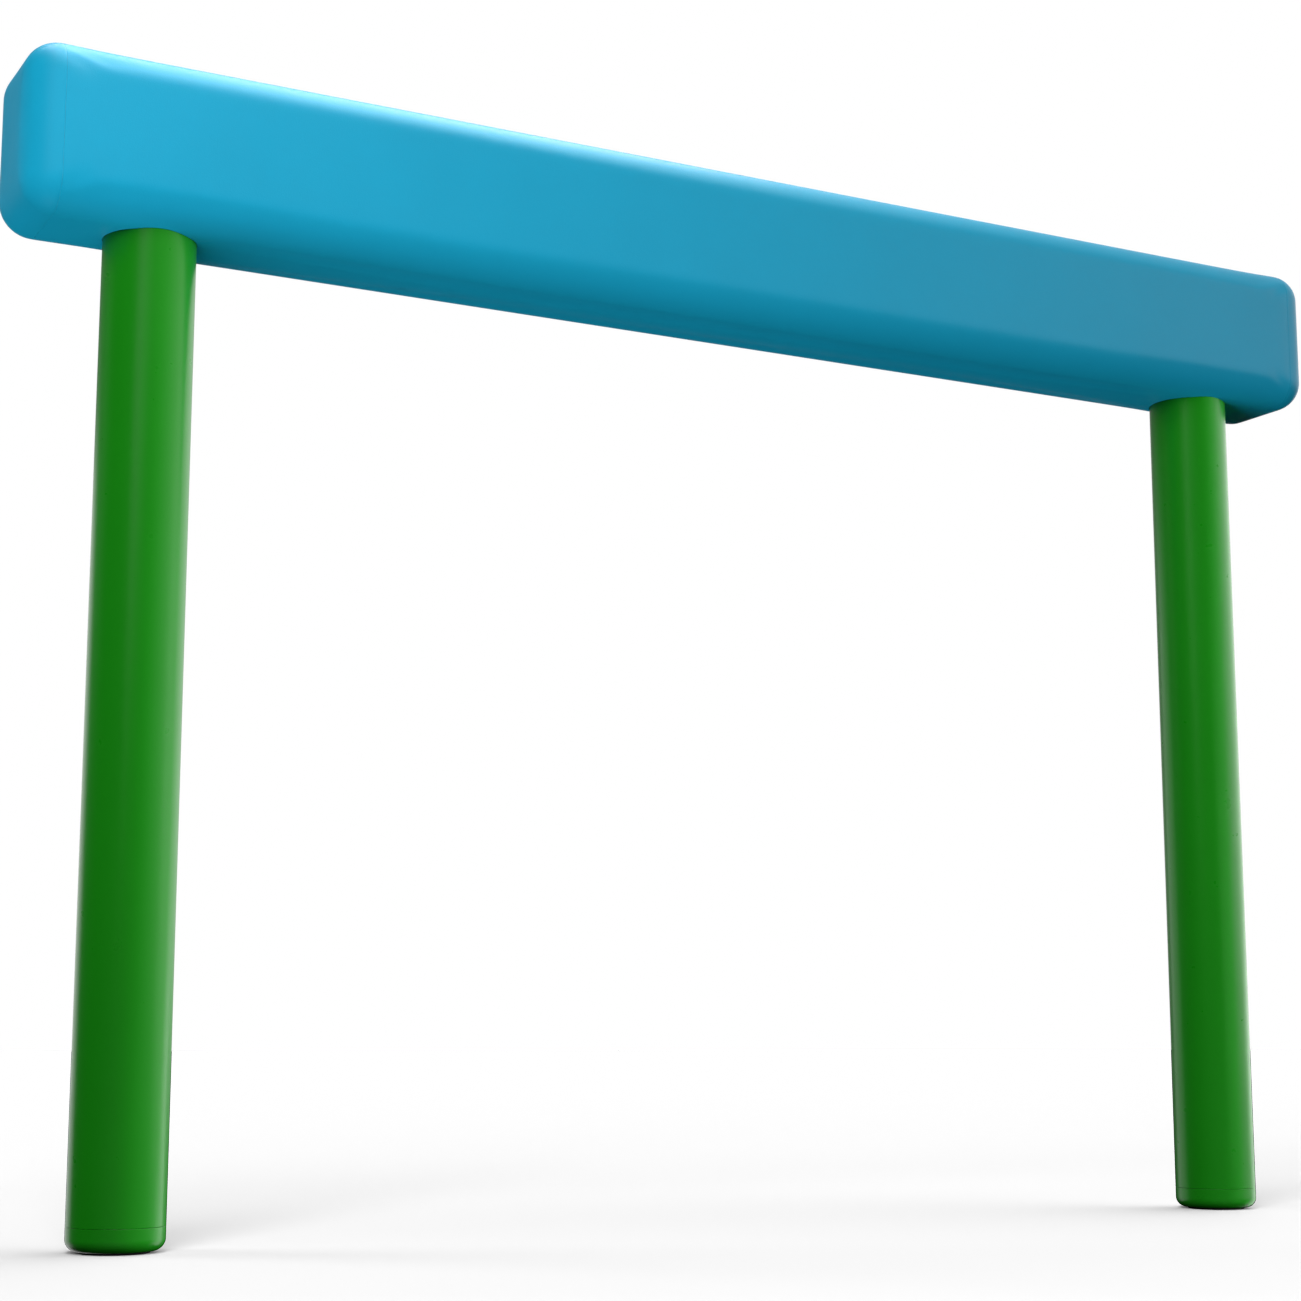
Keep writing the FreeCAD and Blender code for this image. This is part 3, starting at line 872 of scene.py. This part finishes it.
def make_world():
    """A white studio: the camera sees it plain white, and it lights the beam by a different amount from each
    side. Its light from below the horizon stands for what the floor would send back."""
    world = bpy.data.worlds.new("studio")
    bpy.context.scene.world = world
    world.use_nodes = True
    tree = world.node_tree
    seen = tree.nodes["Background"]
    seen.inputs["Color"].default_value = (1, 1, 1, 1)
    lighting = tree.nodes.new("ShaderNodeBackground")
    direction = tree.nodes.new("ShaderNodeTexCoord").outputs["Generated"]
    split = tree.nodes.new("ShaderNodeSeparateXYZ")
    tree.links.new(direction, split.inputs["Vector"])
    height = tree.nodes.new("ShaderNodeMapRange")
    height.inputs["From Min"].default_value = LOW_DOWN
    height.inputs["From Max"].default_value = RAISED
    tree.links.new(split.outputs["Z"], height.inputs["Value"])
    strength = 0
    for axis, below, above in STUDIO:
        side = side_light(tree, direction, height.outputs["Result"], axis, below, above)
        strength = calculate(tree, "ADD", strength, side)
    tree.links.new(strength, lighting.inputs["Strength"])
    path = tree.nodes.new("ShaderNodeLightPath")
    mix = tree.nodes.new("ShaderNodeMixShader")
    tree.links.new(path.outputs["Is Camera Ray"], mix.inputs["Fac"])
    tree.links.new(lighting.outputs["Background"], mix.inputs[1])
    tree.links.new(seen.outputs["Background"], mix.inputs[2])
    tree.links.new(mix.outputs["Shader"], tree.nodes["World Output"].inputs["Surface"])


def make_lights():
    """Plain soft studio lights, strongest at the beam's left end; some light only the cover or only posts.
    Each has its place, its target, its side in metres and its power in watts."""
    cover = ("cover_skin", "left_end_skin", "right_end_skin", "cover_stitching")
    posts = [side + part for side in SIDES for part in ("_post_tube", "_foot_moulding")]
    area_light("key", (-1.5, -1.8, 1.4), (-0.4, 0, 0.85), 1.0, 20.0)
    area_light("key_high", (-1.3, -1.4, 2.3), (-0.4, 0, 0.85), 1.0, 15.0)
    area_light("above_left", (-0.9, -0.3, 2.4), (-0.6, 0, 0.9), 1.0, 5.0)
    area_light("above_right", (0.5, -0.3, 2.4), (0.3, 0, 0.9), 1.0, 3.0, pieces=cover)
    area_light("fill_left", (-2.2, 1.2, 1.2), (-0.7, 0, 0.9), 1.0, 13.0)
    area_light("bounce", (-1.0, -0.3, -1.2), (-0.5, 0, 0.9), 1.2, 30.0, pieces=cover)
    area_light("post_fill", (6.0, -2.0, 0.6), (0, 0, 0.45), 2.5, 240.0, pieces=posts)
    area_light("right_fill", (1.3, -2.5, 0.5), (0.6, 0, 0.4), 1.0, 20.0, pieces=posts[2:])
    area_light("overhead_sheen", (-0.1, 0, 3.0), (-0.1, 0, 0.9), 2.4, 190, sheen=True)
    area_light("front_sheen", (-0.4, -1.5, 2.4), (-0.2, 0, 0.85), 1.0, 21.6, sheen=True)
    area_light("cover_sheen", (2.7, -2.1, 1.8), (0.7, 0, 1.0), 1.6, 28, sheen=True, pieces=cover)
    area_light("post_sheen_back", (-1.2, 3.2, 0.0), (-0.3, 0, 0.3), 3.0, 35, sheen=True, pieces=posts)
    area_light("left_post_sheen", (6.0, 1.2, -1.5), (0, 0, 0.3), 4.0, 120, sheen=True, pieces=posts[:2])
    area_light("right_post_sheen", (6.0, 1.2, -1.5), (0, 0, 0.3), 4.0, 82, sheen=True, pieces=posts[2:])


def make_camera():
    """The camera stands low and to the left, and looks up along the beam."""
    camera = bpy.data.cameras.new("camera")
    camera.lens = CAMERA_LENS
    camera.sensor_width = CAMERA_SENSOR
    holder = bpy.data.objects.new("camera", camera)
    bpy.context.scene.collection.objects.link(holder)
    yaw, pitch = math.radians(CAMERA_YAW), math.radians(CAMERA_PITCH)
    ahead = Vector((math.sin(yaw) * math.cos(pitch), math.cos(yaw) * math.cos(pitch), math.sin(pitch)))
    holder.location = CAMERA_PLACE
    holder.rotation_mode = "QUATERNION"
    holder.rotation_quaternion = ahead.to_track_quat("-Z", "Y")
    bpy.context.scene.camera = holder


# ---- The whole scene ----

def main():
    """Builds every piece, the studio round them and the camera."""
    vinyl = vinyl_material()
    paint = paint_material()
    nylon = nylon_material()
    rubber = rubber_material()
    steel = metal_material("plated_steel", (0.60, 0.61, 0.62), 0.34, (1, 1, 6))
    make_cover(vinyl)
    make_stitching(thread_material())
    foam = foam_material()
    make_foam_sleeve(foam)
    for side, sign in SIDES.items():
        x = sign * POST_X
        make_end_foam(side, sign, foam)
        make_post(side, x, paint)
        make_foot(side, x, nylon)
        make_stud(side, x, steel)
        make_sole(side, x, rubber)
    dress_frame({
        "blue_vinyl": vinyl,
        "padding_foam": foam,
        "extruded_aluminium": metal_material("extruded_aluminium", (0.72, 0.73, 0.75), 0.38, (0.05, 1, 1)),
        "grey_plastic": plastic_material(),
        "green_paint": paint,
        "plated_steel": steel,
        "green_nylon": nylon,
        "black_rubber": rubber,
    })
    make_floor()
    make_world()
    make_lights()
    make_camera()
    bpy.context.scene.view_settings.view_transform = "Standard"


main()
